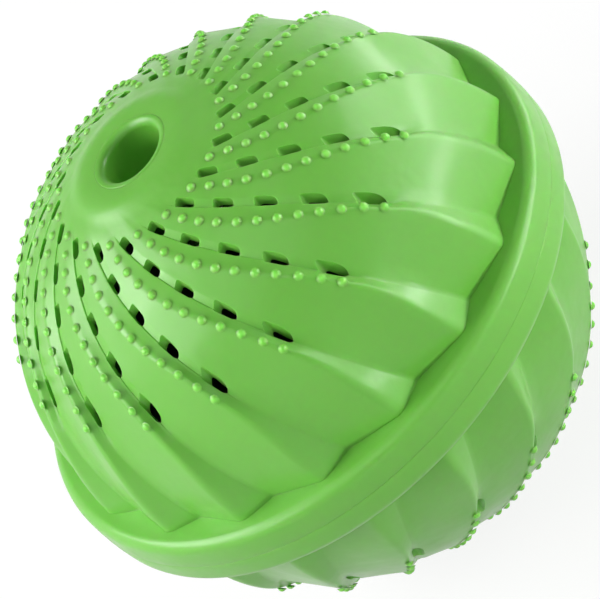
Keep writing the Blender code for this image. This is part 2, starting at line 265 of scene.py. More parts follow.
def wall_inputs(material):
    """Named inputs of the shells' tree, with their values.

    Sides, edges and the lip are shares of how far the channel reaches aside, and drops of its depth.
    """
    shape = bpy.context.scene.laundry_ball_shape
    far_edge = 1.1
    far_edge_in_trough = 0.9
    ledge_fall = 0.3 * MM
    return {
        **size_inputs(),
        "Pole Height": shape.pole_height - RIM_RISE,
        "Level Ring To": math.radians(10.3),
        "Dome From": math.radians(17.0),
        "Even Columns To": math.radians(12.0),
        "Channel From": math.radians(20.0),
        "Whole Channel From": math.radians(21.6),
        "Channel Depth": shape.channel_depth,
        "Channel Fades From": math.radians(56.0),
        "Channel Fades To": math.radians(64.0),
        "Trough Width": 0.6 * MM,
        "Middle Drop": 0.6,
        "Face Side": 0.85,
        "Soft Edge": 0.14,
        "Floor Edge Drop": 0.15,
        "Flank Side": 1.15,
        "Lip": 0.3,
        "Lip Drop": 0.1,
        "Far Edge": far_edge,
        "Far Edge Loss": far_edge - far_edge_in_trough,
        "Far Edge In Trough": far_edge_in_trough,
        "Crest Widens From": math.radians(50.0),
        "Crest Rounding": 1.0 * MM,
        "Crest Rounding At Band": 1.1 * MM,
        "Flank Rounded": 0.35,
        "Flank Rounded At Band": 0.32,
        "Valley Rounding On Face": 2.0 * MM,
        "Valley Rounding On Flank": 1.2 * MM,
        "Valley Tightens From": math.radians(68.0),
        "Valley Tightens By": 0.65,
        "Ledge Height": shape.band_half_height - ledge_fall,
        "Material": material,
    }


def new_tree(name, values, marks):
    """An empty geometry tree with a named input for each value, and the terms for those and for the marks."""
    tree = bpy.data.node_groups.new(name, "GeometryNodeTree")
    tree.interface.new_socket("Geometry", in_out="INPUT", socket_type="NodeSocketGeometry")
    tree.interface.new_socket("Geometry", in_out="OUTPUT", socket_type="NodeSocketGeometry")
    for label, value in values.items():
        kind = "NodeSocketFloat" if isinstance(value, float) else "NodeSocketMaterial"
        tree.interface.new_socket(label, in_out="INPUT", socket_type=kind)
    start = add_node(tree, "NodeGroupInput")
    size = {label: Term(tree, start.outputs[label]) for label in values}
    mark = {}
    for key in marks:
        node = add_node(tree, "GeometryNodeInputNamedAttribute", {"Name": key}, data_type="FLOAT")
        mark[key] = Term(tree, node.outputs["Attribute"])
    return tree, start.outputs["Geometry"], size, mark


def end_tree(tree, geometry, material):
    """The last nodes of every tree: real copies, with their material on."""
    real = add_node(tree, "GeometryNodeRealizeInstances", {"Geometry": geometry})
    set_material = {"Geometry": real.outputs["Geometry"], "Material": material.socket}
    finished = add_node(tree, "GeometryNodeSetMaterial", set_material)
    add_node(tree, "NodeGroupOutput", {"Geometry": finished.outputs["Geometry"]})


def set_copies(tree, geometry, place, form, **pose):
    """Moves each spot to its place and sets a copy of a form on it."""
    points = add_node(tree, "GeometryNodeSetPosition", {"Geometry": geometry, "Position": place.socket})
    shape = add_node(tree, "GeometryNodeObjectInfo", {"Object": form})
    copies = {"Points": points.outputs["Geometry"], "Instance": shape.outputs["Geometry"], **pose}
    return add_node(tree, "GeometryNodeInstanceOnPoints", copies).outputs["Instances"]


def polar_point(distance, theta, turn):
    """The point at a distance from the ball's middle, an angle from the pole and a turn about it."""
    level = distance * theta.join("SINE")
    across = level * turn.join("COSINE")
    along = level * turn.join("SINE")
    upright = distance * theta.join("COSINE")
    inputs = {"X": across.socket, "Y": along.socket, "Z": upright.socket}
    return Term(theta.tree, add_node(theta.tree, "ShaderNodeCombineXYZ", inputs).outputs["Vector"])


def flute_lines(theta, size):
    """Where the valleys and crests run at an angle from the pole, and how far the channel reaches aside."""
    rise = theta.ramp(size["Crest Rise From"], size["Crest Rise To"], "SMOOTHSTEP")
    crest = blend(size["Cap Size"], size["Crest Size"], rise)
    share = theta.ramp(size["Flute Start"], size["Flute End"])
    valley = crest - size["Flute Depth"] * share.join("POWER", size["Flute Depth Power"])
    held = theta.join("MAXIMUM", size["Flute Start"])
    half_tangent = (held * 0.5).join("TANGENT")
    first_tangent = (size["First Slot"] * 0.5).join("TANGENT")
    course = (half_tangent / first_tangent).join("LOGARITHM", math.e)
    slope = size["Flute Turn"] + size["Flute Turn Ease"] * course
    valley_turn = size["Flute Phase"] + slope * course
    gain = size["Crest Offset Gain"] * theta.ramp(size["Gain From"], size["Gain To"], "SMOOTHSTEP")
    loss = size["Crest Offset Loss"] * theta.ramp(size["Loss From"], size["Loss To"], "SMOOTHSTEP")
    nearing = theta.ramp(size["To Band From"], size["To Band To"], "SMOOTHSTEP")
    offset = size["Crest Offset"] + gain - loss + size["Crest Offset To Band"] * nearing
    level = crest * held.join("SINE")
    cosine = held.join("COSINE").join("MAXIMUM", size["Least Cosine"])
    plan_slope = (slope + size["Flute Turn Ease"] * course) / cosine
    reach = size["Channel Width"] * 0.5 * (plan_slope * plan_slope + 1.0).join("SQRT")
    return {
        "crest": crest,
        "valley": valley,
        "valley_turn": valley_turn,
        "crest_turn": valley_turn - offset / level,
        "level": level,
        "offset": offset,
        "reach": reach,
    }


def section_corners(theta, turn, size, line):
    """The corners of a flute's section, from its valley round to the next, and how steep the valley is."""
    # Near the pole the dome flattens into a level ring.
    level_size = size["Pole Height"] / theta.join("COSINE")
    flattening = theta.ramp(size["Level Ring To"], size["Dome From"], "SMOOTHSTEP")
    crest_size = blend(level_size, line["crest"], flattening)
    valley_size = blend(level_size, line["valley"], flattening)

    # The channel's floor slopes down to a step under the flank. Beyond the slots it fades into a soft trough.
    fading = theta.ramp(size["Channel Fades From"], size["Channel Fades To"], "SMOOTHSTEP")
    starting = theta.ramp(size["Channel From"], size["Whole Channel From"], "SMOOTHSTEP")
    reach = blend(line["reach"], size["Trough Width"], fading)
    depth = size["Channel Depth"] * starting * (1.0 - fading)
    relief = crest_size - valley_size
    face_slope = relief / (line["level"] * PITCH - line["offset"]) * fading
    flank_slope = relief / line["offset"] * fading
    next_turn = turn + PITCH

    def beside(height, aside, start, side):
        """A corner at a height and a distance aside from the valley at this turn."""
        return polar_point(height, theta, start + line["valley_turn"] + aside * side / line["level"])

    floor_size = valley_size - depth * size["Middle Drop"]
    inner_edge = reach * size["Face Side"] - reach * size["Soft Edge"]
    floor_edge = valley_size - depth * size["Floor Edge Drop"] + face_slope * inner_edge
    outer_edge = reach * size["Face Side"] + reach * size["Soft Edge"]
    face_foot = valley_size + face_slope * outer_edge
    flank_side = reach * size["Flank Side"]
    lip_end = flank_side + reach * size["Lip"]
    flank_foot = valley_size + flank_slope * lip_end
    lip_corner = valley_size - depth * size["Lip Drop"] + flank_slope * reach * size["Flank Side"]
    far_edge = reach * (size["Far Edge"] - fading * size["Far Edge Loss"])
    far_floor = valley_size - depth + flank_slope * reach * size["Far Edge In Trough"]
    corners = {
        "middle": polar_point(floor_size, theta, turn + line["valley_turn"]),
        "floor_edge": beside(floor_edge, inner_edge, turn, 1.0),
        "face_foot": beside(face_foot, outer_edge, turn, 1.0),
        "crest": polar_point(crest_size, theta, next_turn + line["crest_turn"]),
        "flank_foot": beside(flank_foot, lip_end, next_turn, -1.0),
        "lip_corner": beside(lip_corner, flank_side, next_turn, -1.0),
        "far_floor_edge": beside(far_floor, far_edge, next_turn, -1.0),
        "far_middle": polar_point(floor_size, theta, next_turn + line["valley_turn"]),
    }

    # The crest is rounded from a point before it to one after it.
    widening = theta.ramp(size["Crest Widens From"], size["Flute End"], "SMOOTHSTEP")
    rounding = blend(size["Crest Rounding"], size["Crest Rounding At Band"], widening)
    face = corners["face_foot"] - corners["crest"]
    flank = corners["flank_foot"] - corners["crest"]
    rounded = blend(size["Flank Rounded"], size["Flank Rounded At Band"], widening)
    corners["before"] = corners["crest"] + face * (rounding / face.join("LENGTH"))
    corners["after"] = corners["crest"] + flank * rounded
    return corners, (face_slope + flank_slope) * 0.5


def along_section(corners, share):
    """The point at a share of the section. Each stretch adds its own move, by how much of it lies behind."""
    ends = [0]
    for count in COLUMNS.values():
        ends.append(ends[-1] + count)
    legs = [share.ramp(a / COLUMN_COUNT, b / COLUMN_COUNT) for a, b in zip(ends, ends[1:])]

    def straight(start, end, leg):
        """How far a straight stretch has left its start."""
        return (corners[end] - corners[start]) * leg

    def bend(start, corner, end, leg):
        """How far a rounded corner has left its start."""
        rest = 1.0 - leg
        to_start = corners[start] - corners[corner]
        to_end = corners[end] - corners[corner]
        return to_start * (rest * rest) + to_end * (leg * leg) + corners[corner] - corners[start]

    point = corners["middle"] + straight("middle", "floor_edge", legs[0])
    point = point + straight("floor_edge", "face_foot", legs[1])
    point = point + straight("face_foot", "before", legs[2])
    point = point + bend("before", "crest", "after", legs[3])
    point = point + straight("after", "flank_foot", legs[4])
    point = point + bend("flank_foot", "lip_corner", "far_floor_edge", legs[5])
    return point + straight("far_floor_edge", "far_middle", legs[6])


def hollow_valleys(point, corners, steepness, theta, size):
    """How far the wall lies from the ball's middle, with the valleys' bottoms lifted into hollow curves."""
    # The curves start beyond the slots and tighten towards the ledge.
    nearing = theta.ramp(size["Valley Tightens From"], size["Flute End"], "SMOOTHSTEP")
    tightening = 1.0 - nearing * size["Valley Tightens By"]
    on_face = size["Valley Rounding On Face"] * tightening
    on_flank = size["Valley Rounding On Flank"] * tightening
    lift = steepness * on_face * on_flank / (on_face + on_flank)
    near = (1.0 - (point - corners["middle"]).join("LENGTH") / on_face).join("MAXIMUM", 0.0)
    far_near = (1.0 - (point - corners["far_middle"]).join("LENGTH") / on_flank).join("MAXIMUM", 0.0)
    return point.join("LENGTH") + lift * (near * near + far_near * far_near)


def lay_rows(wall, size, mark):
    """Where each point of a shell goes: the dome's on the fluted wall, and the rest on their own rings."""
    wall_x, wall_y, wall_z = wall.parts()
    aside = wall_y.join("ARCTAN2", wall_x)
    level = (wall_x * wall_x + wall_y * wall_y).join("SQRT")
    base = Term(wall.tree, add_node(wall.tree, "GeometryNodeInputPosition").outputs["Position"])
    base_x, base_y, base_z = base.parts()
    ring = (base_x * base_x + base_y * base_y).join("SQRT")
    even_aside = base_y.join("ARCTAN2", base_x)

    # The other rows keep the turn of the dome's last row, and untwist along the inner wall. Their lag is
    # taken within half a turn either way, and the whole turns keep it above zero until then.
    whole_turns = 100
    lag = ((aside - even_aside) / (2 * math.pi) + (whole_turns + 0.5)).join("FRACT") - 0.5
    ring_aside = even_aside + lag * (2 * math.pi) * (1.0 - mark["untwist"])
    radius = blend(ring, level + mark["foot_out"], mark["on_dome"])
    height = blend(base_z, wall_z.join("MAXIMUM", size["Ledge Height"] + mark["foot_up"]), mark["on_dome"])
    direction = blend(ring_aside, aside, mark["on_dome"])
    across = radius * direction.join("COSINE")
    along = radius * direction.join("SINE")
    inputs = {"X": across.socket, "Y": along.socket, "Z": height.socket}
    return add_node(wall.tree, "ShaderNodeCombineXYZ", inputs).outputs["Vector"]


def wall_tree(material):
    """Presses the flutes, and the channels that the slots lie in, into a plain turned wall."""
    values = wall_inputs(material)
    tree, geometry, size, mark = new_tree("flutes", values, WALL_MARKS)
    theta = mark["polar_angle"]
    line = flute_lines(theta, size)
    corners, steepness = section_corners(theta, mark["flute_turn"], size, line)
    point = along_section(corners, mark["flute_share"])
    distance = hollow_valleys(point, corners, steepness, theta, size)

    # Near the pole the columns ease into even ones.
    easing = theta.ramp(size["Even Columns To"], size["First Slot"], "SMOOTHSTEP")
    even_turn = mark["flute_turn"] + mark["flute_share"] * PITCH + line["valley_turn"]
    eased = blend(polar_point(distance, theta, even_turn), point, easing)
    wall = eased.join("NORMALIZE") * distance
    moved = {"Geometry": geometry, "Position": lay_rows(wall, size, mark)}
    end_tree(tree, add_node(tree, "GeometryNodeSetPosition", moved).outputs["Geometry"], size["Material"])
    return tree, values


def nub_tree(material, form):
    """Sets a small dome on each spot, on the ridge line beside the slots."""
    values = {**size_inputs(), "Sunk": 0.08 * MM, "Material": material}
    tree, geometry, size, mark = new_tree("nubs", values, SPOT_MARKS)
    theta = mark["polar_angle"]
    line = flute_lines(theta, size)
    place = polar_point(line["crest"] - size["Sunk"], theta, mark["flute_turn"] + line["crest_turn"])
    facing = add_node(tree, "FunctionNodeAlignRotationToVector", {"Vector": place.socket}, axis="Z")
    copies = set_copies(tree, geometry, place, form, Rotation=facing.outputs["Rotation"])
    end_tree(tree, copies, size["Material"])
    return tree, values


def slot_tree(material, form):
    """Stands an upright cutter on each spot, turned to run along its valley."""
    shape = bpy.context.scene.laundry_ball_shape
    values = {
        **size_inputs(),
        "Slot Length": shape.slot_length,
        "Slot Width": shape.slot_width,
        "Look Ahead": math.radians(0.5),
        "Material": material,
    }
    tree, geometry, size, mark = new_tree("slots", values, SPOT_MARKS)
    theta = mark["polar_angle"]
    line = flute_lines(theta, size)
    place = polar_point(line["valley"], theta, mark["flute_turn"] + line["valley_turn"])
    ahead = theta + size["Look Ahead"]
    line_ahead = flute_lines(ahead, size)
    place_ahead = polar_point(line_ahead["valley"], ahead, mark["flute_turn"] + line_ahead["valley_turn"])
    course_x, course_y, _ = (place_ahead - place).parts()
    heading = {"Axis": (0.0, 0.0, 1.0), "Angle": course_y.join("ARCTAN2", course_x).socket}
    facing = add_node(tree, "FunctionNodeAxisAngleToRotation", heading).outputs["Rotation"]
    reach = {"X": size["Slot Length"].socket, "Y": size["Slot Width"].socket, "Z": 1.0}
    scale = add_node(tree, "ShaderNodeCombineXYZ", reach).outputs["Vector"]
    copies = set_copies(tree, geometry, place, form, Rotation=facing, Scale=scale)
    end_tree(tree, copies, size["Material"])
    return tree, values


def fill_tree(piece, tree, values):
    """Puts a tree on an object, with its inputs set."""
    modifier = piece.modifiers.new(tree.name, "NODES")
    modifier.node_group = tree
    for item in tree.interface.items_tree:
        if item.in_out == "INPUT" and item.name in values:
            modifier[item.identifier] = values[item.name]


def new_object(name, data):
    """A new object in the scene, with this mesh, lamp or camera."""
    item = bpy.data.objects.new(name, data)
    bpy.context.scene.collection.objects.link(item)
    return item


def make_plain(piece):
    """Turns what an object's modifiers make into its own mesh, and removes them."""
    graph = bpy.context.evaluated_depsgraph_get()
    mesh = bpy.data.meshes.new_from_object(piece.evaluated_get(graph), depsgraph=graph)
    piece.modifiers.clear()
    piece.data = mesh


def add_marks(mesh, marks):
    """Gives every point of a mesh its marks, which the trees and materials read."""
    for key, values in marks.items():
        mesh.attributes.new(key, "FLOAT", "POINT").data.foreach_set("value", values)


def arc(steps, radius, start, end):
    """Points along an arc about the origin, as pairs. The angles are in degrees."""
    angles = [math.radians(start + (end - start) * step / steps) for step in range(steps + 1)]
    return [(radius * math.cos(angle), radius * math.sin(angle)) for angle in angles]


def valley_distance(theta):
    """How far a valley lies from the ball's middle at this angle from the pole, as in the trees."""
    size = size_inputs()
    rise = (theta - size["Crest Rise From"]) / (size["Crest Rise To"] - size["Crest Rise From"])
    rise = min(max(rise, 0.0), 1.0)
    crest = size["Cap Size"] + (size["Crest Size"] - size["Cap Size"]) * rise * rise * (3 - 2 * rise)
    share = (theta - size["Flute Start"]) / (size["Flute End"] - size["Flute Start"])
    return crest - size["Flute Depth"] * min(max(share, 0.0), 1.0) ** size["Flute Depth Power"]


def valley_twist(theta):
    """How far a valley has turned about the pole at this angle from it, as in the trees."""
    size = size_inputs()
    course = math.log(math.tan(theta / 2) / math.tan(size["First Slot"] / 2))
    return size["Flute Phase"] + size["Flute Turn"] * course + size["Flute Turn Ease"] * course * course


def dome_rows():
    """The rows of a half's dome, by their marks, from the hole at the pole to the foot at the ledge."""
    shape = bpy.context.scene.laundry_ball_shape
    flute_end = size_inputs()["Flute End"]
    start = math.atan((shape.bore_radius + SOCKET_ROOM) / shape.pole_height)
    room_for_foot = math.radians(1.3)
    end = flute_end - room_for_foot
    rows = []
    for step in range(DOME_ROWS + 1):
        rows.append({"polar_angle": start + (end - start) * step / DOME_ROWS, "on_dome": 1.0})
    fillet = 0.1 * MM
    for out, up in arc(FOOT_STEPS, fillet, 180, 270):
        foot = {"polar_angle": flute_end, "on_dome": 1.0}
        foot["foot_out"] = out + fillet
        foot["foot_up"] = up + fillet
        rows.append(foot)
    return rows


def plain_rows(lip, socket_start):
    """The other rows of a half, by radius and height: ledge, band, joint, inner wall, socket and hole."""
    shape = bpy.context.scene.laundry_ball_shape
    rows = []

    def ring(radius, height, untwist=0.0):
        rows.append({"radius": radius, "height": height, "untwist": untwist})

    # The band leans in a little from this height up, and ends in a rounded shoulder.
    lean_from = 1.5 * MM
    lean_start = 0.03 * MM
    lean = 0.15 * MM
    shoulder = shape.band_radius - lean - shape.band_rounding
    for out, up in arc(SHOULDER_STEPS, shape.band_rounding, 90, 0):
        ring(shoulder + out, shape.band_half_height - shape.band_rounding + up)
    ring(shape.band_radius - lean_start, lean_from)

    # At the joint the halves come close on a narrow strip, and stand further apart behind it.
    edge = 0.1 * MM
    gap = 0.004 * MM
    strip = 0.6 * MM
    strip_end = 0.7 * MM
    apart = 0.15 * MM
    for out, up in arc(EDGE_STEPS, edge, 0, -90):
        ring(shape.band_radius - edge + out, gap + edge + up)
    ring(shape.band_radius - strip, gap)
    ring(shape.band_radius - strip_end, apart)

    # The lower half has a lip that stands up into the upper one.
    lip_set_in = 4.4 * MM
    lip_radius = shape.band_radius - lip_set_in
    lip_wall = 1.4 * MM
    lip_height = 3.0 * MM
    lip_room = 0.3 * MM
    inside = 3.3 * MM
    if lip:
        ring(lip_radius, apart)
        ring(lip_radius, -lip_height)
        ring(lip_radius - lip_wall, -lip_height)
        ring(lip_radius - lip_wall, inside)
    else:
        ring(lip_radius + lip_room, apart)
        ring(lip_radius + lip_room, inside)

    # The inner wall follows the valleys, and ends at a socket for the tube.
    socket = shape.bore_radius + SOCKET_ROOM
    socket_wall = 2.1 * MM
    outer_socket = socket + socket_wall
    hole_edge = 0.4 * MM
    low = math.acos(inside / (valley_distance(math.pi / 2) - shape.wall))
    high = math.asin(outer_socket / (shape.cap_size - shape.wall))
    for step in range(INNER_ROWS + 1):
        share = step / INNER_ROWS
        theta = low + (high - low) * share
        inner = valley_distance(theta) - shape.wall
        ring(inner * math.sin(theta), inner * math.cos(theta), share)
    ring(outer_socket, socket_start, 1.0)
    ring(socket, socket_start, 1.0)
    ring(socket, shape.pole_height - hole_edge, 1.0)
    return rows


def turned_wall(name, rows):
    """A closed plain wall of rows and columns. The last row meets the first again, some flutes further on."""
    columns = FLUTE_COUNT * COLUMN_COUNT
    points = []
    marks = {key: [] for key in WALL_MARKS}
    size = size_inputs()
    start = valley_twist(size["Flute Start"])
    flutes_on = round((valley_twist(size["Flute End"]) - start) / PITCH)
    for row in rows:
        theta = row.get("polar_angle", size["Flute End"])
        radius = row.get("radius", size["Crest Size"] * math.sin(theta))
        height = row.get("height", size["Crest Size"] * math.cos(theta))
        for column in range(columns):
            flute, place = divmod(column, COLUMN_COUNT)
            share = place / COLUMN_COUNT
            even = start + PITCH * (flute + flutes_on + share)
            points.append((radius * math.cos(even), radius * math.sin(even), height))
            own = {"polar_angle": theta, "flute_share": share, "flute_turn": flute * PITCH}
            for key in WALL_MARKS:
                marks[key].append(own.get(key, row.get(key, 0.0)))
    faces = []
    shift = flutes_on * COLUMN_COUNT
    for index in range(len(rows)):
        here = [index * columns + column for column in range(columns)]
        below = [place + columns for place in here]
        if index == len(rows) - 1:
            below = [(column + shift) % columns for column in range(columns)]
        for column in range(columns):
            after = (column + 1) % columns
            faces.append((here[column], below[column], below[after], here[after]))
    mesh = bpy.data.meshes.new(name)
    mesh.from_pydata(points, [], faces)
    add_marks(mesh, marks)
    mesh.shade_smooth()
    return mesh


def spot_mesh(name, angles):
    """One point for each slot or nub of a half, which knows where it belongs."""
    spots = [(math.radians(angle), flute * PITCH) for flute in range(FLUTE_COUNT) for angle in angles]
    mesh = bpy.data.meshes.new(name)
    mesh.from_pydata([(0.0, 0.0, 0.0)] * len(spots), [], [])
    add_marks(mesh, dict(zip(SPOT_MARKS, zip(*spots))))
    return mesh


def nub_mesh():
    """A low dome with a skirt that sinks into the wall, drawn in shares of the nub's radius and height."""
    shape = bpy.context.scene.laundry_ball_shape
    sides = 9
    profile = [(1.32, 0.06), (1.06, 0.19), (0.92, 0.45), (0.70, 0.75), (0.37, 0.94)]
    points = []
    for out, up in profile:
        for side in range(sides):
            angle = 2 * math.pi * side / sides
            radius = out * shape.nub_radius
            points.append((radius * math.cos(angle), radius * math.sin(angle), up * shape.nub_height))
    points.append((0.0, 0.0, shape.nub_height))
    faces = []
    for ring in range(len(profile) - 1):
        for side in range(sides):
            after = (side + 1) % sides
            low = ring * sides
            high = low + sides
            faces.append((low + side, low + after, high + after, high + side))
    top = len(profile) * sides
    for side in range(sides):
        faces.append((top - sides + side, top - sides + (side + 1) % sides, top))
    mesh = bpy.data.meshes.new("nub")
    mesh.from_pydata(points, [], faces)
    # The material paints the nubs paler, a painted highlight for the light they catch: half as much at the
    # foot, and fully from half the height up.
    add_marks(mesh, {"nub_highlight": [min(1.0, 0.5 + z / shape.nub_height) for _, _, z in points]})
    mesh.shade_smooth()
    return mesh


def slot_mesh():
    """An upright cutter of length and width 1, with rounded corners. One side draws in as it goes down."""
    outline = [(-0.51, -0.26), (-0.495, -0.38), (-0.46, -0.46), (-0.40, -0.5), (0.30, -0.5), (0.38, -0.47)]
    outline += [(0.44, -0.39), (0.48, -0.27), (0.5, -0.12), (0.5, 0.04), (0.485, 0.19), (0.45, 0.33)]
    outline += [(0.39, 0.44), (0.31, 0.5), (-0.33, 0.5), (-0.41, 0.45), (-0.46, 0.35), (-0.49, 0.2)]
    drawn_in = 0.24
    keeps_apart = 0.04
    deep = [(x, min(y, drawn_in + keeps_apart * y)) for x, y in outline]
    end = 9.0 * MM
    drawn_in_below = -2.6 * MM
    whole_above = 0.3 * MM
    levels = ((deep, -end), (deep, drawn_in_below), (outline, whole_above), (outline, end))
    count = len(outline)
    points = [(x, y, height) for level, height in levels for x, y in level]
    faces = [tuple(reversed(range(count))), tuple(range(3 * count, 4 * count))]
    for low in (0, count, 2 * count):
        for side in range(count):
            after = (side + 1) % count
            faces.append((low + side, low + after, low + count + after, low + count + side))
    mesh = bpy.data.meshes.new("slot")
    mesh.from_pydata(points, [], faces)
    return mesh


def join_meshes(name, meshes):
    """One mesh from several."""
    pieces = [new_object(name, mesh) for mesh in meshes]
    with bpy.context.temp_override(active_object=pieces[0], selected_editable_objects=pieces):
        bpy.ops.object.join()
    mesh = pieces[0].data
    bpy.data.objects.remove(pieces[0])
    return mesh


def make_shell(name, lip, socket_start, material, side):
    """One half of the ball: fluted, slotted and with its nubs, as one mesh."""
    wall = new_object(name, turned_wall(name, dome_rows() + plain_rows(lip, socket_start)))
    fill_tree(wall, *wall_tree(material))
    slot_form = new_object("slot_form", slot_mesh())
    slots = new_object("slots", spot_mesh("slots", SLOT_ANGLES))
    fill_tree(slots, *slot_tree(material, slot_form))
    cut = wall.modifiers.new("slots", "BOOLEAN")
    cut.object = slots
    cut.solver = "MANIFOLD"
    make_plain(wall)
    nub_form = new_object("nub_form", nub_mesh())
    nubs = new_object("nubs", spot_mesh("nubs", NUB_ANGLES))
    fill_tree(nubs, *nub_tree(material, nub_form))
    make_plain(nubs)
    mesh = join_meshes(name, [wall.data.copy(), nubs.data.copy()])
    for helper in (wall, slots, nubs, slot_form, nub_form):
        bpy.data.objects.remove(helper)
    for mark in WALL_MARKS:
        if mark in mesh.attributes:
            mesh.attributes.remove(mesh.attributes[mark])
    if side < 0:
        mesh.transform(Matrix.Diagonal((1, 1, -1, 1)))
        mesh.flip_normals()
    mesh.materials.clear()
    mesh.materials.append(material)
    mesh.polygons.foreach_set("material_index", [0] * len(mesh.polygons))
    mesh.set_sharp_from_angle(angle=SHARP_ANGLE)
    return new_object(name, mesh)


def turned_mesh(name, profile):
    """Turns a closed outline of radius and height about Z. It runs down outside and up inside."""
    points = []
    faces = []
    for row, (radius, height) in enumerate(profile):
        low = (row + 1) % len(profile)
        for step in range(TURNED_STEPS):
            angle = 2 * math.pi * step / TURNED_STEPS
            after = (step + 1) % TURNED_STEPS
            points.append((radius * math.cos(angle), radius * math.sin(angle), height))
            corners = [(row, step), (low, step), (low, after), (row, after)]
            faces.append([ring * TURNED_STEPS + place for ring, place in corners])
    mesh = bpy.data.meshes.new(name)
    mesh.from_pydata(points, [], faces)
    mesh.shade_smooth()
    mesh.set_sharp_from_angle(angle=SHARP_ANGLE)
    return mesh


def mouth(side):
    """The tube's rounded mouth, from its outer edge down into the bore."""
    shape = bpy.context.scene.laundry_ball_shape
    top = shape.pole_height
    rim = shape.bore_radius + RIM_WALL
    rim_height = 1.0 * MM
    swell_from = 1.2 * MM
    points = [(shape.bore_radius + TUBE_WALL, side * (top - swell_from)), (rim, side * (top - rim_height))]
    edge = 0.2 * MM
    points += [(rim - edge + out, side * (top - edge + up)) for out, up in arc(RIM_STEPS, edge, 0, 90)]
    # The funnel's curve starts out at a slope of 7 degrees.
    lip = 1.35 * MM
    funnel = arc(FUNNEL_STEPS, lip, 97, 180)
    for out, up in funnel:
        points.append((shape.bore_radius + lip + out, side * (top - funnel[0][1] + up)))
    return points


def make_tube(material):
    """The tube through the ball, with the collar that carries the lower magnet."""
    outer = bpy.context.scene.laundry_ball_shape.bore_radius + TUBE_WALL
    profile = list(reversed(mouth(1)))
    profile.append((outer, -COLLAR_TOP))
    profile.append((COLLAR_RADIUS, -COLLAR_TOP))
    profile.append((COLLAR_RADIUS, -COLLAR_FOOT))
    profile.append((outer, -COLLAR_FOOT))
    profile.extend(mouth(-1))
    mesh = turned_mesh("tube", profile)
    mesh.materials.append(material)
    return new_object("tube", mesh)


def new_material(name, shader_inputs):
    """A material with one Principled shader, and its tree, shader and Object coordinates."""
    material = bpy.data.materials.new(name)
    material.use_nodes = True
    tree = material.node_tree
    tree.nodes.clear()
    shader = add_node(tree, "ShaderNodeBsdfPrincipled", shader_inputs)
    add_node(tree, "ShaderNodeOutputMaterial", {"Surface": shader.outputs["BSDF"]})
    place = add_node(tree, "ShaderNodeTexCoord").outputs["Object"]
    return material, tree, shader, place


def shaded(colour, share):
    """A colour made this much darker or paler."""
    return (*(min(1.0, share * value) for value in colour), 1.0)


def satin_plastic(name, colour):
    """Polypropylene, injection moulded in a lightly blasted mould: an even green with a broad, soft shine."""
    # Over a broad, dull shine lies a thin clearer one, from the smooth skin between the mould's grains.
    finish = {"IOR": 1.49, "Specular IOR Level": 0.4, "Coat Weight": 0.32, "Coat Roughness": 0.19}
    # Light seeps about a millimetre into the plastic, which softens the nubs and fills the slots with green.
    seep = {"Subsurface Weight": 0.75, "Subsurface Scale": 1.1 * MM, "Subsurface Radius": (0.5, 1.0, 0.3)}
    material, tree, shader, place = new_material(name, {**finish, **seep})
    # The melt leaves clouds a few centimetres across, barely lighter and darker.
    clouds = add_node(tree, "ShaderNodeTexNoise", {"Vector": place, "Scale": 1 / (28 * MM), "Detail": 2.0})
    tint = add_node(tree, "ShaderNodeValToRGB", {"Fac": clouds.outputs["Fac"]})
    for element, share in zip(tint.color_ramp.elements, (0.92, 1.06)):
        element.color = shaded(colour, share)
    # Painted highlight: the nubs are painted paler, for the light that small bumps catch from all sides.
    nub_highlight = add_node(tree, "ShaderNodeAttribute", attribute_name="nub_highlight").outputs["Fac"]
    highlighted = {0: nub_highlight, 6: tint.outputs["Color"], 7: shaded(colour, 1.35)}
    mixed = add_node(tree, "ShaderNodeMix", highlighted, data_type="RGBA")
    tree.links.new(mixed.outputs[2], shader.inputs["Base Color"])
    # Handling leaves patches of more and less shine, about 9 mm across.
    patches = add_node(tree, "ShaderNodeTexNoise", {"Vector": place, "Scale": 1 / (9 * MM), "Detail": 3.0})
    range_of_shine = {"From Min": 0.3, "From Max": 0.7, "To Min": 0.38, "To Max": 0.54}
    rough = {"Value": patches.outputs["Fac"], **range_of_shine}
    roughness = add_node(tree, "ShaderNodeMapRange", rough).outputs["Result"]
    tree.links.new(roughness, shader.inputs["Roughness"])
    # The mould's blasted skin has grains of about 0.2 mm. They are drawn at 0.5 mm, so that they show.
    grain = add_node(tree, "ShaderNodeTexNoise", {"Vector": place, "Scale": 1 / (0.5 * MM), "Detail": 1.0})
    bump = {"Height": grain.outputs["Fac"], "Strength": 0.25, "Distance": 0.02 * MM}
    skin = add_node(tree, "ShaderNodeBump", bump).outputs["Normal"]
    # The walls shrank unevenly as they cooled, in waves about 3 mm long that break up the highlights.
    waves = add_node(tree, "ShaderNodeTexNoise", {"Vector": place, "Scale": 1 / (3 * MM), "Detail": 1.0})
    swell = {"Height": waves.outputs["Fac"], "Strength": 1.0, "Distance": 0.09 * MM, "Normal": skin}
    tree.links.new(add_node(tree, "ShaderNodeBump", swell).outputs["Normal"], shader.inputs["Normal"])
    return material


def nickel_plating(colour):
    """Nickel-plated magnet, barrel plated: a bright warm grey metal with a fine peening."""
    metal = {"Metallic": 1.0, "Base Color": (*colour, 1.0)}
    material, tree, shader, place = new_material("nickel_plating", metal)
    # The dents of the barrel are about 0.8 mm across.
    dents = add_node(tree, "ShaderNodeTexNoise", {"Vector": place, "Scale": 1 / (0.8 * MM), "Detail": 2.0})
    rough = {"Value": dents.outputs["Fac"], "To Min": 0.18, "To Max": 0.36}
    roughness = add_node(tree, "ShaderNodeMapRange", rough).outputs["Result"]
    tree.links.new(roughness, shader.inputs["Roughness"])
    bump = {"Height": dents.outputs["Fac"], "Strength": 0.2, "Distance": 0.02 * MM}
    tree.links.new(add_node(tree, "ShaderNodeBump", bump).outputs["Normal"], shader.inputs["Normal"])
    return material


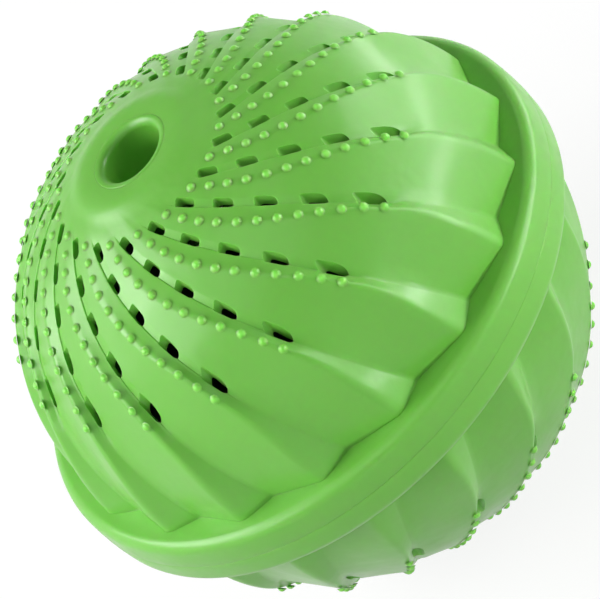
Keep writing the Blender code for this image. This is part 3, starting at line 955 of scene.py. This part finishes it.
def fired_ceramic(name, colour):
    """Unglazed ceramic, rolled into balls and fired: a dry, speckled, slightly pitted skin."""
    material, tree, shader, place = new_material(name, {"IOR": 1.5, "Roughness": 0.82})
    # Specks and pits are about 0.6 mm across.
    specks = add_node(tree, "ShaderNodeTexNoise", {"Vector": place, "Scale": 1 / (0.6 * MM), "Detail": 4.0})
    ramp = add_node(tree, "ShaderNodeValToRGB", {"Fac": specks.outputs["Fac"]})
    for element, position, share in zip(ramp.color_ramp.elements, (0.35, 0.62), (0.72, 1.12)):
        element.position = position
        element.color = shaded(colour, share)
    tree.links.new(ramp.outputs["Color"], shader.inputs["Base Color"])
    bump = {"Height": specks.outputs["Fac"], "Strength": 0.5, "Distance": 0.1 * MM}
    tree.links.new(add_node(tree, "ShaderNodeBump", bump).outputs["Normal"], shader.inputs["Normal"])
    return material


def studio_paper(colour, bounce):
    """Studio paper. The camera sees it white with a faint shadow, and shiny things see it white."""
    material = bpy.data.materials.new("studio_paper")
    material.use_nodes = True
    tree = material.node_tree
    tree.nodes.clear()
    path = add_node(tree, "ShaderNodeLightPath")
    white = add_node(tree, "ShaderNodeEmission", {"Color": (*colour, 1.0), "Strength": 1.0})
    lit = add_node(tree, "ShaderNodeBsdfDiffuse", {"Color": (*colour, 1.0)})
    grey = add_node(tree, "ShaderNodeBsdfDiffuse", {"Color": (*bounce, 1.0)})
    mostly_white = {0: 0.88, 1: lit.outputs["BSDF"], 2: white.outputs["Emission"]}
    faint = add_node(tree, "ShaderNodeMixShader", mostly_white)
    camera = {0: path.outputs["Is Camera Ray"], 1: grey.outputs["BSDF"], 2: faint.outputs["Shader"]}
    seen = add_node(tree, "ShaderNodeMixShader", camera)
    rays = {0: path.outputs["Is Glossy Ray"], 1: path.outputs["Is Transmission Ray"]}
    shiny = add_node(tree, "ShaderNodeMath", rays, operation="ADD", use_clamp=True)
    either = {0: shiny.outputs["Value"], 1: seen.outputs["Shader"], 2: white.outputs["Emission"]}
    surface = add_node(tree, "ShaderNodeMixShader", either).outputs["Shader"]
    add_node(tree, "ShaderNodeOutputMaterial", {"Surface": surface})
    return material


class LAUNDRYBALL_OT_shells(bpy.types.Operator):
    """Build the two shells"""

    bl_idname = "laundryball.shells"
    bl_label = "Shells"

    def execute(self, context):
        colour = tuple(context.scene.laundry_ball_colours.shell)
        material = satin_plastic("polypropylene_leaf_green", colour)
        for node, body, lip, socket_start, side in (
            ("upper_shell", "upper_half", False, UPPER_SOCKET_START, 1),
            ("lower_shell", "lower_half", True, LOWER_SOCKET_START, -1),
        ):
            shell = make_shell("fluted_" + node, lip, socket_start, material, side)
            if not shell.data.polygons:
                raise RuntimeError(f"{shell.name} came out empty")
            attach(shell, body)
            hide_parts(node)
        return {"FINISHED"}


class LAUNDRYBALL_OT_tube(bpy.types.Operator):
    """Build the tube through the ball"""

    bl_idname = "laundryball.tube"
    bl_label = "Tube"

    def execute(self, context):
        colour = tuple(context.scene.laundry_ball_colours.tube)
        tube = make_tube(satin_plastic("polypropylene_tube_green", colour))
        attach(tube, "lower_half")
        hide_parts("centre_tube")
        return {"FINISHED"}


class LAUNDRYBALL_OT_inside(bpy.types.Operator):
    """Finish the divider and the magnets"""

    bl_idname = "laundryball.inside"
    bl_label = "Divider and magnets"

    def execute(self, context):
        colours = context.scene.laundry_ball_colours
        divider = satin_plastic("polypropylene_dark_green", tuple(colours.divider))
        plating = nickel_plating(tuple(colours.plating))
        for node, material in (("divider", divider), ("lower_magnet", plating), ("upper_magnet", plating)):
            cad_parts[node].material_slots[0].material = material
        return {"FINISHED"}


class LAUNDRYBALL_OT_beads(bpy.types.Operator):
    """Finish the ceramic beads"""

    bl_idname = "laundryball.beads"
    bl_label = "Beads"

    def execute(self, context):
        colours = context.scene.laundry_ball_colours
        for kind in ("clay", "white", "grey", "brown"):
            material = fired_ceramic(f"fired_{kind}_ceramic", tuple(getattr(colours, kind)))
            for name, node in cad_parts.items():
                if name.startswith(f"bead_{kind}_"):
                    node.material_slots[0].material = material
        return {"FINISHED"}


def soft_box(name, watts, width, height, azimuth, elevation, away, shines=True):
    """A soft box that faces the ball from this side and this far away. The angles are in degrees."""
    lamp = bpy.data.lights.new(name, "AREA")
    lamp.shape = "RECTANGLE"
    lamp.energy = watts
    lamp.size = width
    lamp.size_y = height
    light = new_object(name, lamp)
    azimuth = math.radians(azimuth)
    elevation = math.radians(elevation)
    level = math.cos(elevation)
    towards = Vector((level * math.cos(azimuth), level * math.sin(azimuth), math.sin(elevation)))
    light.location = towards * away
    light.rotation_euler = towards.to_track_quat("Z", "Y").to_euler()
    light.visible_camera = False
    light.visible_glossy = shines


def make_lamps():
    """The soft boxes that light the ball."""
    soft_box("soft_box_front", 0.5, 0.6, 0.3, 275, 10, 1.2)
    soft_box("soft_box_right", 5.2, 0.5, 0.6, 314, 14, 1.2)
    soft_box("soft_box_back", 10.5, 0.7, 0.6, 112, 44, 1.2)
    soft_box("soft_box_left", 6.6, 0.7, 0.6, 148, 38, 1.2)
    soft_box("soft_box_near", 2.6, 1.0, 0.8, 222, 58, 1.2)
    soft_box("soft_box_far", 0.5, 0.6, 0.5, 22, 48, 1.2)
    # Strips below the band light the faces but not the ledge.
    soft_box("strip_right", 0.8, 0.4, 0.04, 304, -3.0, 0.45)
    soft_box("strip_far", 0.4, 0.35, 0.04, 343, -2.8, 0.45)
    # These only fill the shade and leave no shine.
    soft_box("fill_near", 2.2, 0.9, 0.3, 186, 2, 1.2, False)
    soft_box("fill_low_near", 0.4, 0.35, 0.03, 225, -3.8, 0.45, False)
    soft_box("fill_low_front", 0.3, 0.35, 0.03, 262, -3.8, 0.45, False)


def make_world():
    """White all round to the camera and to shiny things, greyer overhead, and a weak light for the rest."""
    world = bpy.data.worlds.new("studio_air")
    bpy.context.scene.world = world
    world.use_nodes = True
    tree = world.node_tree
    tree.nodes.clear()
    path = add_node(tree, "ShaderNodeLightPath")
    rays = {0: path.outputs["Is Glossy Ray"], 1: path.outputs["Is Transmission Ray"]}
    shiny = add_node(tree, "ShaderNodeMath", rays, operation="ADD")
    sight = {0: path.outputs["Is Camera Ray"], 1: shiny.outputs["Value"]}
    seen = add_node(tree, "ShaderNodeMath", sight, operation="ADD", use_clamp=True)
    soft = add_node(tree, "ShaderNodeBackground", {"Color": (1.0, 1.0, 1.0, 1.0), "Strength": 0.08})
    # Above 6 degrees the walls of the studio grow darker, so that level faces don't turn pale.
    view = add_node(tree, "ShaderNodeTexCoord").outputs["Object"]
    heading = add_node(tree, "ShaderNodeSeparateXYZ", {"Vector": view})
    fall = {"Value": heading.outputs["Z"], "From Min": 0.1, "From Max": 0.45, "To Min": 1.0, "To Max": 0.1}
    strength = add_node(tree, "ShaderNodeMapRange", fall).outputs["Result"]
    white = add_node(tree, "ShaderNodeBackground", {"Color": (1.0, 1.0, 1.0, 1.0), "Strength": strength})
    either = {0: seen.outputs["Value"], 1: soft.outputs["Background"], 2: white.outputs["Background"]}
    surface = add_node(tree, "ShaderNodeMixShader", either).outputs["Shader"]
    add_node(tree, "ShaderNodeOutputWorld", {"Surface": surface})


def make_camera():
    """The camera that sees the ball as the photo does."""
    lens = bpy.data.cameras.new("camera")
    lens.sensor_width = 36.0
    lens.sensor_fit = "HORIZONTAL"
    lens.lens = CAMERA_LENS
    lens.clip_end = 20.0
    camera = new_object("camera", lens)
    camera.location = CAMERA_PLACE
    camera.rotation_euler = [math.radians(angle) for angle in CAMERA_TURN]
    bpy.context.scene.camera = camera


class LAUNDRYBALL_OT_stage(bpy.types.Operator):
    """Set up the floor, the lights and the camera"""

    bl_idname = "laundryball.stage"
    bl_label = "Stage"

    def execute(self, context):
        scene = context.scene
        colours = scene.laundry_ball_colours
        low = -scene.laundry_ball_shape.pole_height
        reach = 3.0
        corners = [(x * reach, y * reach, low) for x, y in ((-1, -1), (1, -1), (1, 1), (-1, 1))]
        mesh = bpy.data.meshes.new("studio_floor")
        mesh.from_pydata(corners, [], [(0, 1, 2, 3)])
        mesh.materials.append(studio_paper(tuple(colours.floor), tuple(colours.bounce)))
        new_object("studio_floor", mesh)
        make_world()
        make_lamps()
        make_camera()
        scene.view_settings.view_transform = "Standard"
        return {"FINISHED"}


OPERATORS = (
    LAUNDRYBALL_OT_shells,
    LAUNDRYBALL_OT_tube,
    LAUNDRYBALL_OT_inside,
    LAUNDRYBALL_OT_beads,
    LAUNDRYBALL_OT_stage,
)


class LAUNDRYBALL_PT_pieces(bpy.types.Panel):
    """Lists the pieces of the laundry ball and their sizes and colours"""

    bl_idname = "LAUNDRYBALL_PT_pieces"
    bl_label = "Laundry ball"
    bl_space_type = "VIEW_3D"
    bl_region_type = "UI"
    bl_category = "Laundry Ball"

    def draw(self, context):
        scene = context.scene
        for group in (scene.laundry_ball_shape, scene.laundry_ball_colours):
            box = self.layout.box()
            for name in group.__annotations__:
                box.prop(group, name)
        for operator in OPERATORS:
            self.layout.operator(operator.bl_idname)


CLASSES = (LaundryBallShape, LaundryBallColours, *OPERATORS, LAUNDRYBALL_PT_pieces)


def register():
    for cls in CLASSES:
        bpy.utils.register_class(cls)
    bpy.types.Scene.laundry_ball_shape = bpy.props.PointerProperty(type=LaundryBallShape)
    bpy.types.Scene.laundry_ball_colours = bpy.props.PointerProperty(type=LaundryBallColours)


def unregister():
    del bpy.types.Scene.laundry_ball_colours
    del bpy.types.Scene.laundry_ball_shape
    for cls in reversed(CLASSES):
        bpy.utils.unregister_class(cls)


def main():
    register()
    bpy.ops.laundryball.shells()
    bpy.ops.laundryball.tube()
    bpy.ops.laundryball.inside()
    bpy.ops.laundryball.beads()
    bpy.ops.laundryball.stage()


if __name__ == "__main__":
    main()
